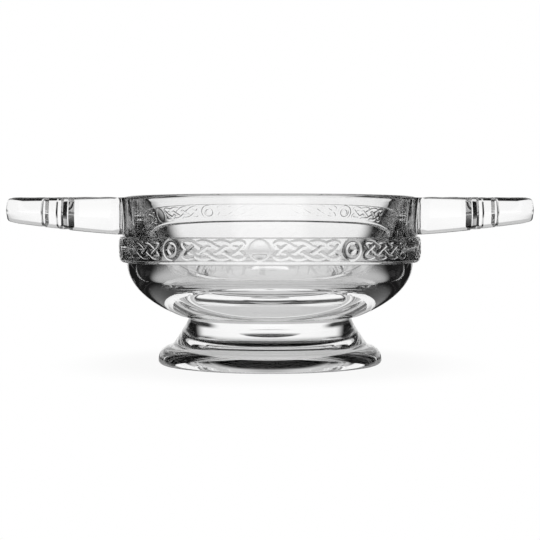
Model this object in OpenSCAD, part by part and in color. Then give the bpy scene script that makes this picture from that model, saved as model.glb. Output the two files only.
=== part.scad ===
// Quaich: a shallow drinking bowl with two lugs, in clear pressed glass.
// Millimetres, +Z up. The origin is the centre of the plane that the foot rests on.
// +X runs along the right lug, and the front of the bowl faces -Y.

/* [Bowl] */
// Outside diameter of the upright wall
bowl_d = 108; // [98:1:124]
// Height of the bowl from its joint with the foot up to the rim
bowl_h = 43.5; // [40:0.5:54]
// Thickness of the glass at the rim, which is fully rounded
rim_wall = 3.2; // [2.4:0.1:4.4]
// Depth of the hollow below the rim
hollow_depth = 34; // [28:0.5:36]
// Lean of the inner wall from upright, in degrees
wall_draft = 12; // [8:0.5:15]
// Squareness of the turn from the inner wall to the floor
floor_turn = 11; // [4:0.5:14]
// How far the rounded body stands in from the upright wall
body_inset = 1.6; // [0.5:0.1:3]
// How far the underside of the bowl reaches past the neck of the foot
underside_reach = 3.5; // [2:0.1:6]

/* [Collar] */
// Distance from the rim down to the top of the collar
collar_drop = 14.5; // [14:0.1:17]
// Height of the collar
collar_h = 9.4; // [8.6:0.1:12]
// How far the collar stands out from the upright wall
collar_proud = 1; // [0.6:0.1:2]
// Rounding of the lower edge of the collar
collar_edge = 1.5; // [0.4:0.1:1.8]

/* [Foot] */
// Height of the foot up to its joint with the bowl
foot_h = 17.5; // [14:0.5:26]
// Diameter of the foot over its rolled edge
foot_d = 82; // [74:1:96]
// Diameter of the neck, where the foot meets the bowl
neck_d = 59; // [50:1:64]
// Height of the rolled edge
roll_h = 6.7; // [5:0.1:8]
// Width of the rolled edge, measured inward
roll_w = 5; // [3:0.1:6]
// Rounding between the rolled edge and the resting face
roll_low = 1.5; // [1:0.1:2.5]
// Rounding of the hollow turn from the stem to the rolled edge
waist_round = 1.2; // [0.6:0.1:2]
// Hollow flare of the stem, where 1 is straight
stem_flare = 1.2; // [1:0.05:1.4]
// Width of the flat ring that the foot rests on
ring_w = 3.5; // [2:0.5:6]
// Depth of the recess under the foot
recess_rise = 5.2; // [3:0.1:7]
// Diameter of the flat top of the recess
recess_top_d = 52; // [40:1:60]
// Diameter of the dimple in the middle of the recess
dimple_d = 16; // [10:1:24]
// Depth of the dimple
dimple_h = 0.4; // [0.2:0.1:1]

/* [Lugs] */
// Reach of a lug from the upright wall to its tip
lug_reach = 42.5; // [38:0.5:56]
// Distance from the rim down to the top of a lug
lug_drop = 0.5; // [0:0.1:1.5]
// Depth of a lug at the wall
lug_root_h = 13.2; // [9:0.2:13.4]
// Depth of a lug at its tip
lug_tip_h = 8.6; // [6:0.2:9]
// Width of the tip
lug_tip_w = 15; // [12:0.5:24]
// Length of the tip
lug_tip_len = 13.2; // [9:0.2:16]
// Depth of the step next to the tip
tip_step = 2; // [1:0.1:3]
// Depth of the middle step
mid_step = 1.5; // [1:0.1:3]
// Depth of the step nearest the wall
root_step = 3.5; // [1:0.1:5]
// Lean of the steps from the length of the lug, in degrees
step_slope = 55; // [40:1:65]
// Distance from the tip's step to the middle step
tip_gap = 4.4; // [2:0.2:6]
// Distance from the middle step to the step nearest the wall
root_gap = 1.5; // [1:0.1:4]
// Widening of each side from the last step to the wall
lug_flare = 1; // [0.5:0.1:6]
// Rounding of the lug's edges
lug_edge = 1.6; // [0.8:0.1:1.9]
// Draw of the sides in from the parting line at mid-depth
lug_draw = 0.35; // [0:0.05:0.6]
// Rounding of the tip's corners, seen from above
tip_corner = 5; // [2.2:0.1:6]

/* [Knotwork] */
// Height of the relief above the collar
relief = 0.4; // [0.3:0.05:1]
// Width of a strand at its base
strand_w = 1.3; // [1:0.05:1.6]
// Height of the plait over its strands
plait_h = 7; // [5.4:0.1:7.4]
// Angle between neighbouring bosses on one face of the bowl
boss_pitch = 33.5; // [31:0.5:35]
// Width of a boss at its base
boss_d = 7.4; // [5:0.1:7.6]
// Turn of the whole band from the middle of the front
band_turn = -3.6; // [-8:0.2:8]

/* [Hidden] */
wall_r = bowl_d / 2;
collar_r = wall_r + collar_proud;
body_r = wall_r - body_inset;
neck_r = neck_d / 2;
foot_r = foot_d / 2;
rim_z = foot_h + bowl_h;
collar_top = rim_z - collar_drop;
collar_low = collar_top - collar_h;
face_h = collar_h - collar_edge - 0.4;
face_mid = collar_low + collar_edge + face_h / 2;
glass = [0.86, 0.93, 0.93, 0.6];

// Points of an arc about [x, y] with half axes a and b, from angle t0 to t1.
function arc(x, y, a, b, t0, t1, n) =
    [for (i = [0:n]) let (t = t0 + (t1 - t0) * i / n) [x + a * cos(t), y + b * sin(t)]];

// The bowl is one turned profile: joint face, rounded body, collar, upright wall, round lip, hollow.
module bowl() {
    lip = rim_wall / 2;
    reach_r = neck_r + underside_reach;
    body_end = acos(reach_r / body_r);
    body_b = (collar_low - foot_h) / sin(body_end);
    lip_z = rim_z - lip;
    depth = hollow_depth - lip;
    inner_r = wall_r - rim_wall;
    body = arc(0, collar_low, body_r, -body_b, body_end, 0, 24);
    low_edge = arc(collar_r - collar_edge, collar_low + collar_edge, collar_edge, collar_edge, -90, 0, 6);
    top_edge = [[collar_r, collar_top - 0.4], [collar_r - 0.4, collar_top], [wall_r, collar_top]];
    round_lip = arc(wall_r - lip, lip_z, lip, lip, 0, 180, 16);
    hollow = [for (i = [1:40]) let (u = 1 - pow(1 - i / 40, 3))
        [(inner_r - u * depth * tan(wall_draft)) * pow(max(0, 1 - pow(u, floor_turn)), 1 / 3), lip_z - u * depth]];
    color(glass)
        rotate_extrude($fn = 180)
            polygon(concat([[0, foot_h], [reach_r, foot_h]], body, low_edge, top_edge, round_lip, hollow));
}

// The foot is one turned profile: flared stem, hollow turn, rolled edge, flat ring, recess with a dimple.
module foot() {
    neck = [neck_r, foot_h];
    waist = [foot_r - roll_w, roll_h];
    ring_r = foot_r - roll_low - ring_w;
    roll = arc(waist[0], roll_low, roll_w, roll_h - roll_low, 70, 0, 10);
    top_r = min(recess_top_d / 2, ring_r - 4);
    drop = neck[1] - waist[1];
    stem = [for (i = [0:12]) let (t = i / 12 * (1 - waist_round / drop))
        [neck[0] + (waist[0] - neck[0]) * pow(t, stem_flare), neck[1] - drop * t]];
    stem_end = stem[12];
    turn = [for (i = [1:5]) let (t = i / 6)
        stem_end * pow(1 - t, 2) + waist * 2 * t * (1 - t) + roll[0] * t * t];
    low_edge = arc(foot_r - roll_low, roll_low, roll_low, roll_low, -10, -90, 6);
    recess = [for (i = [0:12]) let (t = i / 12)
        [ring_r + (top_r - ring_r) * t, recess_rise * t * t * (3 - 2 * t)]];
    dimple = [for (i = [0:6]) let (t = 1 - i / 6) [dimple_d / 2 * t, recess_rise + dimple_h * (1 - t * t)]];
    color(glass)
        rotate_extrude($fn = 180)
            polygon(concat([[0, foot_h]], stem, turn, roll, low_edge, recess, dimple));
}

// Half the plan of a lug, from inside the wall to the middle of the tip, as [reach, half width].
tip_half = lug_tip_w / 2;
tip_round = min(tip_corner, tip_half - 0.5);
mid_half = tip_half + tip_step;
low_half = mid_half + mid_step;
side_half = low_half + root_step;
root_half = side_half + lug_flare;
tip_at = lug_reach - lug_tip_len;
mid_at = tip_at - tip_step / tan(step_slope) - tip_gap;
low_at = mid_at - mid_step / tan(step_slope) - root_gap;
side_at = low_at - root_step / tan(step_slope);
root_sink = wall_r - sqrt(wall_r * wall_r - root_half * root_half) + 2;
half_plan = concat(
    [[-root_sink, root_half]],
    [for (i = [0:6]) let (t = i / 6) [side_at * t, side_half + lug_flare * pow(1 - t, 2)]],
    [[low_at, low_half], [low_at + root_gap, low_half]],
    [[mid_at, mid_half], [mid_at + tip_gap, mid_half]],
    [[tip_at, tip_half]],
    arc(lug_reach - tip_round, tip_half - tip_round, tip_round, tip_round, 90, 0, 6));
half_n = len(half_plan);
plan = concat(half_plan, [for (i = [half_n - 1:-1:0]) [half_plan[i][0], -half_plan[i][1]]]);
plan_n = 2 * half_n;

// Outward direction at each corner of the plan, drawn out so that both edges move by one.
function edge_out(i) = let (d = plan[(i + 1) % plan_n] - plan[i % plan_n]) [-d[1], d[0]] / norm(d);
function corner_out(i) =
    let (a = edge_out(i + plan_n - 1), b = edge_out(i), s = a + b) s * 2 / max(s * s, 1.2);

// Underside of a lug: level at the wall, then rising to the tip.
function under_z(s) = -lug_root_h + (lug_root_h - lug_tip_h) * pow(max(0, s) / lug_reach, 1.25);
// Height of a corner at a share of the depth between the underside and the top.
function side_z(s, share) = under_z(s) * (1 - share);

// One ring of the lug: the plan drawn in by inset, at a height given by share and lift.
function lug_ring(inset, share, lift) = [for (i = [0:plan_n - 1])
    let (p = plan[i] - inset * corner_out(i)) [wall_r + p[0], p[1], side_z(plan[i][0], share) + lift]];

module lug_body() {
    e = lug_edge;
    d = lug_draw;
    low = [for (t = [0, 30, 60, 90]) lug_ring(d + e * (1 - sin(t)), 0, e * (1 - cos(t)))];
    high = [for (t = [90, 60, 30, 0]) lug_ring(d + e * (1 - sin(t)), 1, -e * (1 - cos(t)))];
    rings = concat(low, [lug_ring(0, 0.5, 0)], high);
    last = (len(rings) - 1) * plan_n;
    sides = [for (k = [0:len(rings) - 2], i = [0:plan_n - 1]) let (j = (i + 1) % plan_n)
        [k * plan_n + i, k * plan_n + j, (k + 1) * plan_n + j, (k + 1) * plan_n + i]];
    caps = [for (i = [0:half_n - 2]) let (j = plan_n - 1 - i) each
        [[i, j, j - 1, i + 1], [last + i, last + i + 1, last + j - 1, last + j]]];
    polyhedron([for (r = rings) each r], concat(sides, caps), convexity = 6);
}

// A lug is a loft through rings of its plan, hollowed at the root to seat on the upright wall.
module lug_right() {
    color(glass)
        translate([0, 0, rim_z - lug_drop])
            difference() {
                lug_body();
                translate([0, 0, -2 * lug_root_h])
                    cylinder(h = 3 * lug_root_h, r = wall_r, $fn = 180);
            }
}

module lug_left() {
    rotate([0, 0, 180])
        lug_right();
}

// A point on the collar, from a distance round it, a height from its middle and a height of relief.
function on_collar(x, y, h) =
    let (t = x / collar_r * 180 / PI - 90, r = collar_r + h)
    [r * cos(t), r * sin(t), face_mid + y];

// A plait has four runs from end to end, which turn at the ends into one closed strand, or into two
// where weaves is even. They wave across it weaves times in all, and their height swings with both
// speeds, so that each strand goes over and under by turns.
plait_half = (min(plait_h, face_h - 0.1) - strand_w) / 2;
function strand_at(t, half_run, weaves, phase) =
    let (x = asin(0.96 * sin(2 * t)) / asin(0.96),
        wave = weaves * t + phase,
        fall = cos(2 * t) * sin(wave) * cos(180 * weaves * x))
    [half_run * x, plait_half * cos(wave), relief * (0.75 + 0.25 * fall)];

// Corners of the strand's section: a base on the collar and a flat top.
function strand_section(t, half_run, weaves, phase) =
    let (p = strand_at(t, half_run, weaves, phase),
        d = strand_at(t + 0.5, half_run, weaves, phase) - strand_at(t - 0.5, half_run, weaves, phase),
        n = [-d[1], d[0]] * strand_w / 2 / norm([d[0], d[1]]))
    [for (c = [[1, 0], [0.6, p[2]], [-0.6, p[2]], [-1, 0]])
        on_collar(p[0] + c[0] * n[0], p[1] + c[0] * n[1], c[1])];

// One run of a strand from end to end of the plait.
module strand_run(run, half_run, weaves) {
    n = 3 * weaves;
    first = 45 + 90 * run;
    phase = weaves % 2 == 0 ? 45 + 90 * floor(run / 2) : 0;
    rows = [for (i = [0:n]) strand_section(first + 90 * i / n, half_run, weaves, phase)];
    sides = [for (i = [0:4:4 * n - 4], c = [0:3]) let (d = (c + 1) % 4)
        each [[i + c, i + 4 + d, i + d], [i + c, i + 4 + c, i + 4 + d]]];
    last = 4 * n;
    ends = [[0, 1, 2], [0, 2, 3], [last + 2, last + 1, last], [last + 3, last + 2, last]];
    polyhedron([for (r = rows) each r], concat(sides, ends), convexity = 8);
}

module plait(half_run, weaves) {
    for (run = [0:3])
        strand_run(run, half_run, weaves);
}

// A plain boss is a low disc with a sloped edge. A ring boss is sunk round a pellet.
boss_w = min(boss_d, face_h - 0.1);
module boss(ringed) {
    sink = boss_w * boss_w / 8 / collar_r + 0.1;
    translate([0, -collar_r + sink, face_mid])
        rotate([90, 0, 0])
            difference() {
                hull() {
                    cylinder(h = sink + relief / 2, d = boss_w, $fn = 20);
                    cylinder(h = sink + relief, d = boss_w * 0.88, $fn = 20);
                }
                if (ringed)
                    difference() {
                        translate([0, 0, sink + relief * 0.3])
                            cylinder(h = relief, d1 = boss_w * 0.55, d2 = boss_w * 0.7, $fn = 20);
                        cylinder(h = sink + relief, d1 = boss_w * 0.5, d2 = boss_w * 0.3, $fn = 18);
                    }
            }
}

// Five bosses stand on each face of the bowl, with a plait between every two.
module knotwork() {
    degree = collar_r * PI / 180;
    boss_clear = boss_w / 2 + strand_w * 0.8;
    color(glass)
        rotate([0, 0, band_turn]) {
            difference() {
                for (face = [0, 180], i = [-2:2])
                    rotate([0, 0, face + i * boss_pitch])
                        boss(abs(i) == 1);
                translate([0, 0, collar_low])
                    cylinder(h = collar_h, r = collar_r, $fn = 180);
            }
            for (face = [0, 180]) {
                for (i = [-1.5:1.5])
                    rotate([0, 0, face + i * boss_pitch])
                        plait(boss_pitch / 2 * degree - boss_clear, 4);
                rotate([0, 0, face + 90])
                    plait((90 - 2 * boss_pitch) * degree - boss_clear, 5);
            }
        }
}

bowl();
knotwork();
foot();
lug_left();
lug_right();
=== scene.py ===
import bpy
import numpy as np
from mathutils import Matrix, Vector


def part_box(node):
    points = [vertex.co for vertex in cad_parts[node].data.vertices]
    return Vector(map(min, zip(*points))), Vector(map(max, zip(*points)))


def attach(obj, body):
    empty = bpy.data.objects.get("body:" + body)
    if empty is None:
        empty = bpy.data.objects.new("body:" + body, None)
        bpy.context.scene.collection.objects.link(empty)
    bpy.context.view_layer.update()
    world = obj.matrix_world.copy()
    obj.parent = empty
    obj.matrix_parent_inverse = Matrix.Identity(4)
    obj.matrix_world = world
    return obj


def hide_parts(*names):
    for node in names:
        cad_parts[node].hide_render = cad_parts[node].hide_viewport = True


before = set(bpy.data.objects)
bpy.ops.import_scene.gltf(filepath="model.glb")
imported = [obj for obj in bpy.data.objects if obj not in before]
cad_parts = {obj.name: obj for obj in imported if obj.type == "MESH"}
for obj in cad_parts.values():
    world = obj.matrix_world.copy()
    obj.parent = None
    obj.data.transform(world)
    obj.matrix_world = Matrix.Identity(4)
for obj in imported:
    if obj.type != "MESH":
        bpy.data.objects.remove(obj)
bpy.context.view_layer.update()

# Bowl: clear soda glass pressed between a mould and a tapered plunger, so the outside wall is
# upright and the hollow leans in. The lip is fire polished to a full round.
# Foot, band and lugs are fused to it while hot, and no seam shows at their seats.

MM = 0.001
WHITE = (1.0, 1.0, 1.0, 1.0)


def node_box(node):
    """The lowest and the highest corner of a node of the frame, in millimetres."""
    return [np.array(corner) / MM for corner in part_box(node)]


bowl_low, bowl_high = node_box("bowl")
lug_low, lug_high = node_box("lug_right")
rim_z, neck_z, collar_r = bowl_high[2], bowl_low[2], bowl_high[0]
collar_proud, collar_below_rim, collar_depth = 1.0, 14.5, 9.4
body_inset = 1.6
neck_r, neck_ledge = 29.5, 3.5
lip = 1.6
wall_r = collar_r - collar_proud
body_r = wall_r - body_inset
reach_r = neck_r + neck_ledge
collar_top = rim_z - collar_below_rim
collar_low = collar_top - collar_depth
hollow_depth = 32.5
wall_draft = np.radians(12.0)
curve_depth, curve_gain = 10, 0.0071
floor_power, floor_root = 11, 4.5
hollow_rows = 102
root_fillet = 3.2
lug_half_angle = np.arcsin((lug_high[1] + root_fillet) / wall_r)
lug_top, lug_root = lug_high[2], lug_low[2]
touch = 1e-4


class Value:
    """A shader socket that takes Python operators, each of which adds a Math node to its tree."""

    def __init__(self, tree, socket=None):
        self.tree = tree
        self.socket = socket

    def node(self, kind, settings=(), **inputs):
        """A new node of that type, with its settings made first and its sockets then set or linked. A socket
        goes by its name, with _ for a space, or by its number after a _."""
        made = self.tree.nodes.new(kind)
        for name, setting in dict(settings).items():
            setattr(made, name, setting)
        for name, value in inputs.items():
            key = int(name[1:]) if name[1:].isdigit() else name.replace("_", " ")
            if isinstance(value, Value):
                self.tree.links.new(value.socket, made.inputs[key])
            else:
                made.inputs[key].default_value = value
        return made

    def out(self, made, name=0):
        """One output of a node as a Value."""
        return Value(self.tree, made.outputs[name])

    def math(self, operation, *values):
        """A Math node on this value and others."""
        inputs = {f"_{i}": value for i, value in enumerate((self, *values))}
        return self.out(self.node("ShaderNodeMath", {"operation": operation}, **inputs))

    def __add__(self, other):
        return self.math("ADD", other)

    def __sub__(self, other):
        return self.math("SUBTRACT", other)

    def __mul__(self, other):
        return self.math("MULTIPLY", other)

    def __truediv__(self, other):
        return self.math("DIVIDE", other)

    def __rsub__(self, other):
        return (self * -1.0) + other

    __radd__, __rmul__ = __add__, __mul__

    def ramp(self, low, high):
        """A smooth step from 0 at low to 1 at high."""
        smoothed = {"interpolation_type": "SMOOTHSTEP"}
        made = self.node("ShaderNodeMapRange", smoothed, Value=self, From_Min=low, From_Max=high)
        return self.out(made, "Result")


def shader(name):
    """An empty material and a Value to write its nodes from."""
    material = bpy.data.materials.new(name)
    material.use_nodes = True
    material.node_tree.nodes.clear()
    return material, Value(material.node_tree)


def pressed_glass():
    """Clear glass that refracts at 1.52. A slow ripple in its skin, from the chill of the mould, bends the
    view a little."""
    material, start = shader("clear_pressed_glass")
    place = start.out(start.node("ShaderNodeTexCoord"), "Object")
    ripple = start.out(start.node("ShaderNodeTexNoise", Vector=place, Scale=60.0, Detail=1.0), "Fac")
    skin = start.out(start.node("ShaderNodeBump", Height=ripple, Strength=0.05, Distance=0.0006), "Normal")
    glass = start.node("ShaderNodeBsdfPrincipled", Normal=skin, Base_Color=WHITE, Roughness=0.0, IOR=1.52,
                       Transmission_Weight=1.0)
    start.node("ShaderNodeOutputMaterial", Surface=start.out(glass))
    return material


def fused_seat():
    """The seat where two gathers of the same glass melted together: light crosses it unbent."""
    material, start = shader("fused_seat")
    seat = start.node("ShaderNodeBsdfTransparent", Color=WHITE)
    start.node("ShaderNodeOutputMaterial", Surface=start.out(seat))
    return material


GLASS, SEAT = pressed_glass(), fused_seat()
welds_per_mm = 2e3


def glass_piece(name, sheets, crease=0.6):
    """Joins grids of points, in millimetres, into one mesh. Each sheet is a (rows, columns, 3) grid and the
    material of its faces, one number or a grid of them. Points that fall together become one, which closes
    seams and poles, and a face that loses a corner by that becomes a triangle."""
    points, faces, kinds, start = [], [], [], 0
    for grid, kind in sheets:
        rows, columns = grid.shape[:2]
        index = start + np.arange(rows * columns).reshape(rows, columns)
        quads = np.stack([index[:-1, :-1], index[:-1, 1:], index[1:, 1:], index[1:, :-1]], axis=-1)
        points.append(grid.reshape(-1, 3))
        faces.append(quads.reshape(-1, 4))
        kinds.append(np.broadcast_to(kind, (rows - 1, columns - 1)).ravel())
        start += rows * columns
    points, faces, kinds = np.concatenate(points), np.concatenate(faces), np.concatenate(kinds)
    cells = np.round(points * welds_per_mm).astype(np.int64)
    _, first, merged = np.unique(cells, axis=0, return_index=True, return_inverse=True)
    points, faces = points[first], merged.ravel()[faces]
    same = faces == np.roll(faces, -1, axis=1)
    whole, three = same.sum(1) == 0, same.sum(1) == 1
    corner = np.argmax(same[three], axis=1)[:, None]
    threes = np.take_along_axis(faces[three], (corner + np.arange(1, 4)) % 4, axis=1)
    mesh = bpy.data.meshes.new(name)
    mesh.from_pydata((points * MM).tolist(), [], faces[whole].tolist() + threes.tolist())
    materials = np.concatenate([kinds[whole], kinds[three]]).astype(np.int32)
    mesh.polygons.foreach_set("material_index", materials)
    mesh.materials.append(GLASS)
    mesh.materials.append(SEAT)
    mesh.shade_smooth()
    mesh.set_sharp_from_angle(angle=crease)
    piece = bpy.data.objects.new(name, mesh)
    bpy.context.scene.collection.objects.link(piece)
    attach(piece, "root")
    return piece


def arc(x, y, a, b, start, end, count):
    """Points of an ellipse about (x, y) with half axes a and b, between two angles in degrees."""
    t = np.radians(np.linspace(start, end, count))
    return np.stack([x + a * np.cos(t), y + b * np.sin(t)], axis=1)


def line(*corners, step=1.0):
    """Points along straight stretches between corners, no further apart than step."""
    runs = []
    for a, b in zip(corners, corners[1:]):
        count = int(np.ceil(np.hypot(*np.subtract(b, a)) / step))
        runs.append(np.linspace(a, b, max(1, count) + 1))
    return np.concatenate(runs)


def distinct(profile, apart=1e-6):
    """A profile without its repeated points."""
    keep = np.r_[True, np.hypot(*np.diff(profile, axis=0).T) > apart]
    return profile[keep]


def middles(row):
    """The points half-way between neighbours in a row."""
    return (row[1:] + row[:-1]) / 2


def turned(profile, angles):
    """A profile of (radius, height) carried round the upright axis."""
    r, z = profile[:, :1], profile[:, 1:]
    return np.stack([r * np.cos(angles), r * np.sin(angles), z + 0 * angles], axis=-1)


def lip_radius(z):
    """Outside radius of the upright wall and of the round lip above it."""
    rise = np.clip(z - (rim_z - lip), 0.0, lip)
    return wall_r - lip + np.sqrt(lip * lip - rise * rise)


def hollow_profile():
    """Down the hollow from the lip, the radius shrinks by the draft and by a curve that bends in as far as
    curve_depth and runs on straight. A super-ellipse rounds it into the floor, where the rows lie closer."""
    fall = 1 - (1 - np.linspace(0, 1, hollow_rows + 1)[1:]) ** 3
    below = fall * (hollow_depth - lip)
    curved = np.minimum(below, curve_depth)
    lean = below * np.tan(wall_draft) + curve_gain * curved * (below - curved / 2)
    rounded = np.maximum(0, 1 - fall**floor_power) ** (1 / floor_root)
    return np.stack([(wall_r - 2 * lip - lean) * rounded, rim_z - lip - below], axis=1)


# Below the collar the body is part of an ellipse, which ends at the ledge round the neck.
body_end = np.degrees(np.arccos(reach_r / body_r))
body_drop = (collar_low - neck_z) / np.sin(np.radians(body_end))
lug_bend = np.degrees(np.arcsin((lug_top - rim_z + lip) / lip))
wall_corners = ((body_r, collar_low), (body_r, collar_top), (wall_r, collar_top), (wall_r, lug_root),
                (wall_r, rim_z - lip))
bowl_profile = distinct(np.concatenate([
    line((0, neck_z), (neck_r, neck_z), (reach_r, neck_z), step=3.0),
    arc(0, collar_low, body_r, -body_drop, body_end, 0, count=44),
    line(*wall_corners, step=1.5),
    arc(wall_r - lip, rim_z - lip, lip, lip, 0, lug_bend, count=8),
    arc(wall_r - lip, rim_z - lip, lip, lip, lug_bend, 180, count=20),
    hollow_profile()]))
lug_columns = np.linspace(0, 2 * lug_half_angle, 69)
gap_columns = np.linspace(0, np.pi - 2 * lug_half_angle, 173)
bowl_angles = np.unique(np.concatenate([
    -lug_half_angle + lug_columns,
    lug_half_angle + gap_columns,
    np.pi - lug_half_angle + lug_columns,
    np.pi + lug_half_angle + gap_columns]).round(9))
middle_r, middle_z = middles(bowl_profile).T
outside = np.arange(len(middle_r)) < len(middle_r) - hollow_rows
on_foot = (middle_z < neck_z + touch) & (middle_r < neck_r)
in_band = outside & (middle_r < wall_r) & (middle_z > collar_low) & (middle_z < collar_top + touch)
at_lug = outside & (middle_z > lug_root) & (middle_z < lug_top) & (middle_r > wall_r - lip)
beside_lug = np.abs(np.sin(middles(bowl_angles))) < np.sin(lug_half_angle)
bowl_seats = (on_foot | in_band)[:, None] | (at_lug[:, None] & beside_lug)
bowl = glass_piece("bowl_glass", [(turned(bowl_profile, bowl_angles), bowl_seats)])
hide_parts("bowl")

# Knotwork band: the collar of the bowl, pressed with a closed plait between every two of its ten
# bosses. Plain bosses and ringed bosses take turns. Strands go over and under like a cord's.

relief = 0.3
strand_half, plait_half = 0.75, 3.5
boss_half = 3.7
boss_pitch, band_turn = 33.5, -3.6
band_rise = 0.55
knot_z = (collar_low + collar_top) / 2 + band_rise
points_per_weave = 40
even_run = 0.96
strand_dip = 0.14
over_start, over_full = 0.3, 0.5
cut_back = 1.5
plain_height, ring_height, pellet_height = 0.35, 1.2, 1.3
pellet_size, ring_start, ring_full = 0.42, 0.52, 0.66
low_edge, top_edge = 1.5, 0.4
face_rows, column_step = 40, 0.25
short_weaves, long_weaves = 4, 5


def smooth(x, low, high):
    """A smooth step from 0 at low to 1 at high."""
    t = np.clip((x - low) / (high - low), 0, 1)
    return t * t * (3 - 2 * t)


def strand_path(run, weaves):
    """Place and lift, each from -1 to 1, on one of the four runs of a plait from end to end. The runs join
    by round turns into one closed strand, or into two where weaves is even, and wave across weaves times in
    all. The lift swings with both speeds, so that each strand goes over and under by turns."""
    t = np.pi / 4 + np.pi / 2 * (run + np.linspace(0, 1, points_per_weave * weaves))
    wave = weaves * t + (np.pi / 4 + np.pi / 2 * (run // 2) if weaves % 2 == 0 else 0)
    along = np.arcsin(even_run * np.sin(2 * t)) / np.arcsin(even_run)
    return along, np.cos(wave), np.cos(2 * t) * np.sin(wave) * np.cos(np.pi * weaves * along)


def plait(x, y, place, weaves, half_width):
    """Relief of a plait, from 0 to 1, at points x, y. The strand is a rounded strip about its path, cut back
    beside each strand that goes over it."""
    gaps, lifts = [], []
    for run in range(4):
        along, across, lift = strand_path(run, weaves)
        px, py = place(along, across)
        away = np.hypot(x.reshape(-1, 1) - px, y.reshape(-1, 1) - py)
        near = away.argmin(1)
        gaps.append(away.min(1).reshape(x.shape))
        lifts.append(lift[near].reshape(x.shape))
    gaps, lifts = np.array(gaps), np.array(lifts)
    strip = np.clip(1 - (gaps / half_width) ** 3, 0, 1) * (1 - strand_dip + strand_dip * lifts)
    for under in range(4):
        for over in range(4):
            above = smooth(lifts[over] - lifts[under], over_start, over_full)
            strip[under] *= 1 - above * (1 - smooth(gaps[over], half_width, half_width * cut_back))
    return strip.max(0)


def boss(x, y, ringed):
    """Relief of a boss, as a share of a strand's: a low dome with a steep edge, or a ring round a pellet."""
    away = np.hypot(x / boss_half, y / boss_half)
    dome = np.sqrt(np.clip(1 - away**8, 0, 1))
    if not ringed:
        return plain_height * dome
    pellet = pellet_height * np.sqrt(np.clip(1 - (away / pellet_size) ** 2, 0, 1))
    return np.maximum(ring_height * dome * smooth(away, ring_start, ring_full), pellet)


def band_sector(pitch, weaves, first_ringed, last_ringed, heights):
    """Relief over one stretch of the band, from the middle of one boss to the middle of the next: the plait
    between them and half of each boss, whichever stands higher."""
    columns = np.radians(np.arange(round(pitch / column_step)) * column_step) * collar_r
    x, y = np.meshgrid(columns, heights - knot_z)
    run = np.radians(pitch) * collar_r
    half_run = run / 2 - boss_half - 2 * strand_half

    def place(along, across):
        return run / 2 + half_run * along, (plait_half - strand_half) * across

    strands = plait(x, y, place, weaves, strand_half)
    return np.maximum.reduce([strands, boss(x, y, first_ringed), boss(x - run, y, last_ringed)])


face_heights = np.linspace(collar_low + low_edge, collar_top - top_edge, face_rows)
short_up = band_sector(boss_pitch, short_weaves, False, True, face_heights)
short_down = band_sector(boss_pitch, short_weaves, True, False, face_heights)
long_run = band_sector(180 - 4 * boss_pitch, long_weaves, False, False, face_heights)
half_turn = np.concatenate([short_up, short_down, short_up, short_down, long_run], axis=1)
band_relief = relief * np.concatenate([half_turn, half_turn, half_turn[:, :1]], axis=1)
first_angle = -90 + band_turn - 2 * boss_pitch
band_angles = np.radians(first_angle + np.arange(band_relief.shape[1]) * column_step)
band_foot = distinct(np.concatenate([
    line((body_r, collar_low), (collar_r - low_edge, collar_low), step=0.6),
    arc(collar_r - low_edge, collar_low + low_edge, low_edge, low_edge, -90, 0, count=10)]))
band_face = np.stack([np.full(face_rows, collar_r), face_heights], axis=1)
band_head = np.concatenate([
    arc(collar_r - top_edge, collar_top - top_edge, top_edge, top_edge, 0, 90, count=5),
    line((wall_r, collar_top), (body_r, collar_top), (body_r, collar_low), step=3.0)])
band_profile = distinct(np.concatenate([band_foot, band_face, band_head]))
band_grid = turned(band_profile, band_angles)
first_face = len(band_foot) - 1
outward = np.stack([np.cos(band_angles), np.sin(band_angles), 0 * band_angles], axis=-1)
band_grid[first_face:first_face + face_rows] += band_relief[..., None] * outward
middle_r, middle_z = middles(band_profile).T
band_seat = (middle_r < wall_r) & ((middle_z > collar_top - touch) | (middle_r < body_r + touch))
band = glass_piece("knotwork_band", [(band_grid, band_seat[:, None])], crease=1.0)
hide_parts("knotwork")

# Foot: a solid flared pedestal in the same glass, pressed with a thick rolled edge.
# It stands on a flat ring round a flat-topped recess with a dimple in its middle, and is fused to
# the bowl at the neck.

foot_r = node_box("foot")[1][0]
roll_w, roll_h, roll_low = 5.0, 6.7, 1.5
ring_w = 3.5
ring_r = foot_r - roll_low - ring_w
recess_top, recess_rise = 23.5, 5.6
dimple_r, dimple_h = 8.0, 0.4
stem_h = neck_z - roll_h
stem_start, stem_power = 1.2, 1.2


def bent(start, corner, end, count):
    """A curve that leaves start towards corner and comes to end from there: their quadratic blend."""
    t = np.linspace(0, 1, count)[:, None]
    return start * (1 - t) ** 2 + corner * 2 * t * (1 - t) + end * t**2


waist = np.array([foot_r - roll_w, roll_h])
roll = arc(waist[0], roll_low, roll_w, roll_h - roll_low, 0, 70, count=24)
drop = np.linspace(1 - stem_start / stem_h, 0, 40)
stem = np.stack([neck_r + (waist[0] - neck_r) * drop**stem_power, neck_z - stem_h * drop], axis=1)
recess_r = np.linspace(0, ring_r, 110)
dimple = dimple_h * np.maximum(0, 1 - (recess_r / dimple_r) ** 2)
recess_z = recess_rise * (1 - smooth(recess_r, recess_top, ring_r)) + dimple
foot_profile = distinct(np.concatenate([
    np.stack([recess_r, recess_z], axis=1),
    line((ring_r, 0), (foot_r - roll_low, 0), step=1.0),
    arc(foot_r - roll_low, roll_low, roll_low, roll_low, -90, 0, count=12),
    roll,
    bent(roll[-1], waist, stem[0], count=12),
    stem,
    line((neck_r, neck_z), (0, neck_z), step=3.0)]))
foot_seat = middles(foot_profile)[:, 1] > neck_z - touch
foot_grid = turned(foot_profile, np.linspace(0, 2 * np.pi, 361))
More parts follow.
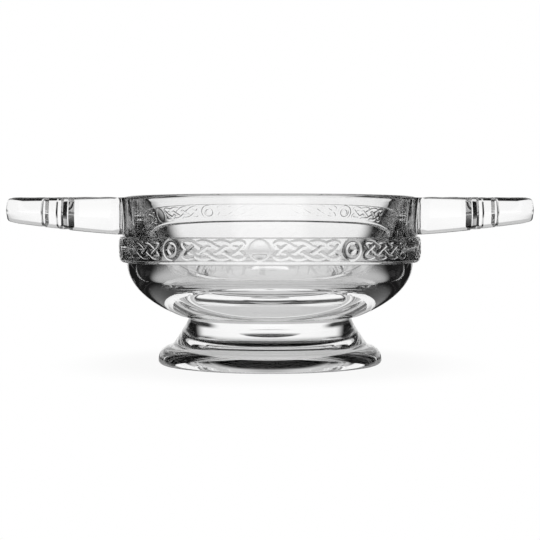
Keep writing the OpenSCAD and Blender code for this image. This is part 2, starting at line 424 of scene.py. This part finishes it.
foot = glass_piece("foot_glass", [(foot_grid, foot_seat[:, None])])
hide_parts("foot")

# Lugs: two thick flat handles of glass, narrowed in plan by three sloped steps and thinner at the tip.
# The mould parts at mid-depth, so the sides draw in above and below it, and a plait stands up from
# the top. Each lug is fused to the upright wall at its root.

tip_half, lug_flare, tip_corner = 7.5, 1.0, 5.0
step_half = (14.5, 11.0, 9.5, tip_half)
step_at = (18.5, 22.45, 27.9)
step_slope = np.tan(np.radians(60))
lug_reach = lug_high[0] - wall_r
lug_tip_h, bottom_power = 8.6, 1.25
lug_edge, lug_draw = 1.6, 0.35
lug_relief, lug_weaves, lug_strand_half = 0.3, 5, 1.25
root_half = step_half[0] + lug_flare
root_back = wall_r * np.cos(lug_half_angle) - wall_r
side_start, root_blend = 1.5, 6.0
bow_reach, bow_power = 10, 1.5
corner_limit = 1.2
knot_start, knot_margin = 2.5, 3.5
knot_end = lug_reach - knot_margin
knot_widths = np.array([[0, 11.5], [16, 10.6], [21, 7.6], [26, 6.0], [30, 4.6], [44, 4.4]])

root_edge = np.array([root_back, root_half + root_fillet])
root_corner = np.array([root_back + root_fillet * np.tan(lug_half_angle), root_half])
root_side = np.array([side_start, root_half])
sweep = np.linspace(0, 1, 24)
flared_x = side_start + (step_at[0] - side_start) * sweep
flared_half = step_half[0] + lug_flare * (1 - sweep) ** 2
step_corners = []
for at, wide, narrow in zip(step_at, step_half, step_half[1:]):
    step_corners += [(at, wide), (at + (wide - narrow) / step_slope, narrow)]
lug_plan = distinct(np.concatenate([
    bent(root_edge, root_corner, root_side, count=16),
    np.stack([flared_x, flared_half], axis=1),
    line(*step_corners, (lug_reach - tip_corner, tip_half), step=0.4),
    arc(lug_reach - tip_corner, tip_half - tip_corner, tip_corner, tip_corner, 90, 0, count=14)]))
ahead = np.diff(lug_plan, axis=0)
facing = np.stack([-ahead[:, 1], ahead[:, 0]], axis=1) / np.hypot(*ahead.T)[:, None]
both = np.concatenate([facing[:1], facing]) + np.concatenate([facing, [[1.0, 0.0]]])
draw_in = both * 2 / np.maximum((both**2).sum(1), corner_limit)[:, None]
reach, half = lug_plan.T
free = smooth(reach, root_back, root_back + root_blend)
thinning = lug_top - lug_root - lug_tip_h
lug_bottom = lug_root + thinning * (np.maximum(0, reach) / lug_reach) ** bottom_power
lug_depth = lug_top - lug_bottom

# Up a lug's side the rings go round the lower edge, out to the parting and round the upper edge.
quarter = np.radians(np.linspace(0, 90, 9))
edge_inset = lug_draw + lug_edge * (1 - np.sin(quarter))
edge_lift = lug_edge * (1 - np.cos(quarter))
parting_inset = lug_draw * np.array([0.35, 0.03, 0.0, 0.03, 0.35])
parting_share = np.array([0.34, 0.485, 0.5, 0.515, 0.66])
inset = np.concatenate([edge_inset, parting_inset, edge_inset[::-1]])[:, None]
share = np.concatenate([np.zeros(len(quarter)), parting_share, np.ones(len(quarter))])[:, None]
lift = np.concatenate([edge_lift, 0 * parting_share, -edge_lift[::-1]])[:, None]
even = np.linspace(0, 1, len(inset))[:, None]
side_z = (lug_bottom + lug_depth * share + lift) * free + (lug_bottom + lug_depth * even) * (1 - free)
side_x = wall_r + reach - inset * draw_in[:, 0] * free
side_y = half - inset * draw_in[:, 1] * free
side_x[:, 0] = lip_radius(side_z[:, 0]) * np.cos(lug_half_angle)
side_y[:, 0] = lip_radius(side_z[:, 0]) * np.sin(lug_half_angle)
back_side = np.stack([side_x, side_y, side_z], axis=-1)
front_side = back_side * np.array([1.0, -1.0, 1.0])
lug_sides = np.concatenate([front_side, back_side[:, ::-1]], axis=1)
across_lug = np.linspace(1, -1, 121)


def lug_face(ring):
    """The top or underside of a lug: straight across between the two sides of a ring, and bowed round the
    wall at the root, less and less with the distance from it."""
    x, y, z = (ring[:, i:i + 1] for i in range(3))
    bulge = lip_radius(z[0]) * np.cos(lug_half_angle * across_lug) - x[0]
    fade = np.clip(1 - (x - x[0]) / bow_reach, 0, 1) ** bow_power
    bow = np.sin(lug_half_angle * across_lug) / np.sin(lug_half_angle) - across_lug
    return np.stack([x + fade * bulge, y * (across_lug + fade * bow), z + 0 * across_lug], axis=-1)


def lug_knot(along, across):
    """Places the plait on a lug: it narrows with the plan from the wall to the tip."""
    place = knot_start + (knot_end - knot_start) * (along + 1) / 2
    return place, across * np.interp(place, *knot_widths.T)


# The lugs aren't quite closed. Where a strand reaches the edge of the top, the top stands up to 0.26 mm
# off the side, and the tip's side has no points between its corners to meet those of top and underside.
lug_upper = lug_face(back_side[-1])
from_wall, sideways = lug_upper[..., 0] - wall_r, lug_upper[..., 1]
lug_upper[..., 2] += lug_relief * plait(from_wall, sideways, lug_knot, lug_weaves, lug_strand_half)
lug_under = lug_face(back_side[0])[:, ::-1]
root_z = side_z[:, :1]
root_r, root_angles = lip_radius(root_z), lug_half_angle * across_lug
lug_seat = np.stack([root_r * np.cos(root_angles), root_r * np.sin(root_angles), root_z + 0 * root_angles],
                    axis=-1)
half_turn_about_z = np.array([-1.0, -1.0, 1.0])
for name, way in (("lug_right", 1.0), ("lug_left", half_turn_about_z)):
    sheets = [(lug_sides * way, 0), (lug_upper * way, 0), (lug_under * way, 0), (lug_seat * way, 1)]
    lug = glass_piece(f"{name}_glass", sheets)
    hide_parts(name)

# Table: a matt pale top that the bowl stands on. The camera sees it nearly white, with a soft painted
# shadow round the foot, where a little of the matt top and its real shade show through the white glow.
# The glass sees a glow with painted shade: dim close to the foot as a painted shadow, white at back and
# front, and painted dark at both sides, as between two upright dark cards, though no darker than a dim
# painted fill towards the front, so that the glass draws its edges dark.

BLACK = (0.0, 0.0, 0.0, 1.0)
PALE = (0.9, 0.9, 0.9, 1.0)
table_half, table_z = 6, -0.0002
painted_shadow_r, near_r, far_r = 0.045, 0.06, 0.085
painted_shadow_share, painted_shade_near = 0.06, 0.55
card_edge, card_dark = (0.14, 0.265), 0.99
front_fill, table_front = 0.12, (-0.12, -0.06)


def between_cards(east, north, edge):
    """Brightness by compass direction: white at back and front, and dark at both sides as if cards stood
    there. The edge is given as the square of the sine of the angle from straight back or front."""
    side = east * east / (east * east + north * north)
    return 1 - card_dark * side.ramp(*edge)


def with_front_fill(level, north, edge):
    """A level that is nowhere darker than the dim fill in front, which fades out towards the back."""
    return level.math("MAXIMUM", front_fill - front_fill * north.ramp(*edge))


table, start = shader("pale_table")
rays = start.node("ShaderNodeLightPath")
through = start.out(rays, "Is Glossy Ray").math("MAXIMUM", start.out(rays, "Is Transmission Ray"))
place = start.out(start.node("ShaderNodeTexCoord"), "Object")
spot = start.out(start.node("ShaderNodeVectorMath", {"operation": "LENGTH"}, _0=place), "Value")
matt = start.out(start.node("ShaderNodeBsdfDiffuse", Color=PALE))
white = start.out(start.node("ShaderNodeEmission", Color=WHITE, Strength=1.0))
black = start.out(start.node("ShaderNodeEmission", Color=BLACK, Strength=0.0))
# Painted shadow: close to the foot the white glow gives way to a little of the matt top and its real shade.
outside_painted_shadow = 1 - painted_shadow_share + painted_shadow_share * spot.ramp(painted_shadow_r, far_r)
share_white = start.out(rays, "Is Camera Ray") * outside_painted_shadow
lit = start.out(start.node("ShaderNodeMixShader", _0=share_white, _1=matt, _2=white))
parts = start.node("ShaderNodeSeparateXYZ", Vector=place)
east, north = start.out(parts, "X"), start.out(parts, "Y")
# Painted shade for the glass: dim round the foot as a painted shadow, dark at the sides, a dim fill in
# front.
far = spot.ramp(near_r, far_r)
far_painted_level = with_front_fill(between_cards(east, north, card_edge), north, table_front)
painted_seen_level = (painted_shade_near + (1 - painted_shade_near) * far) * (1 - far * (1 - far_painted_level))
seen = start.out(start.node("ShaderNodeMixShader", _0=painted_seen_level, _1=black, _2=white))
shown = start.out(start.node("ShaderNodeMixShader", _0=through, _1=lit, _2=seen))
start.node("ShaderNodeOutputMaterial", Surface=shown)
table_mesh = bpy.data.meshes.new("table_top")
table_corners = [(x * table_half, y * table_half, table_z) for x, y in ((-1, -1), (1, -1), (1, 1), (-1, 1))]
table_mesh.from_pydata(table_corners, [], [(0, 1, 2, 3)])
table_mesh.materials.append(table)
table_top = bpy.data.objects.new("table_top", table_mesh)
bpy.context.scene.collection.objects.link(table_top)

# Light: a soft surround with no lamps, which the camera sees white all over. Low down the glass sees it
# white at back and front and dark at both sides, with more white at the back above the table. Higher up
# it sees a grey ceiling over the back half, and dark in front and overhead.

wall_edge, ceiling_edge = (0.3, 0.5), (0.16, 0.3)
wall_start, ceiling_start, ceiling_end = (0.02, 0.06), (0.12, 0.19), (0.55, 0.75)
back_start, surround_front = (-0.1, 0.1), (-0.6, -0.3)
ceiling_grey = 0.6

surround = bpy.data.worlds.new("white_surround")
surround.use_nodes = True
surround.node_tree.nodes.clear()
sky = Value(surround.node_tree)
rays = sky.node("ShaderNodeLightPath")
toward = sky.out(sky.node("ShaderNodeTexCoord"), "Generated")
parts = sky.node("ShaderNodeSeparateXYZ", Vector=toward)
east, north, up = (sky.out(parts, axis) for axis in "XYZ")
behind = north.ramp(*back_start)
level_low = with_front_fill(between_cards(east, north, card_edge), north, surround_front)
level_wall = between_cards(east, north, wall_edge)
sides = level_low + (level_wall - level_low) * up.ramp(*wall_start) * behind
ceiling = ceiling_grey * between_cards(east, north, ceiling_edge) * (1 - up.ramp(*ceiling_end)) * behind
level = sides + (ceiling - sides) * up.ramp(*ceiling_start)
share_white = level + (1 - level) * sky.out(rays, "Is Camera Ray")
black = sky.out(sky.node("ShaderNodeBackground", Color=BLACK, Strength=0.0))
white = sky.out(sky.node("ShaderNodeBackground", Color=WHITE, Strength=1.0))
glow = sky.node("ShaderNodeMixShader", _0=share_white, _1=black, _2=white)
sky.node("ShaderNodeOutputWorld", Surface=sky.out(glow))
bpy.context.scene.world = surround

# Camera: half a metre in front, a little below the height of the rim and tipped down slightly.
# Light may cross many faces of glass before it is lost, as it does in the thick foot and lugs.

camera_back, camera_height, camera_tip = 0.497, 0.0496, 1.78
camera_lens = 90.0
glass_bounces, mirror_bounces = 32, 16

camera = bpy.data.objects.new("camera", bpy.data.cameras.new("camera"))
camera.data.lens = camera_lens
camera.location = (0.0, -camera_back, camera_height)
camera.rotation_euler = (np.radians(90 - camera_tip), 0.0, 0.0)
bpy.context.scene.collection.objects.link(camera)
bpy.context.scene.camera = camera
bpy.context.scene.cycles.max_bounces = glass_bounces
bpy.context.scene.cycles.transmission_bounces = glass_bounces
bpy.context.scene.cycles.glossy_bounces = mirror_bounces
bpy.context.scene.cycles.transparent_max_bounces = glass_bounces
bpy.context.scene.view_settings.view_transform = "Standard"
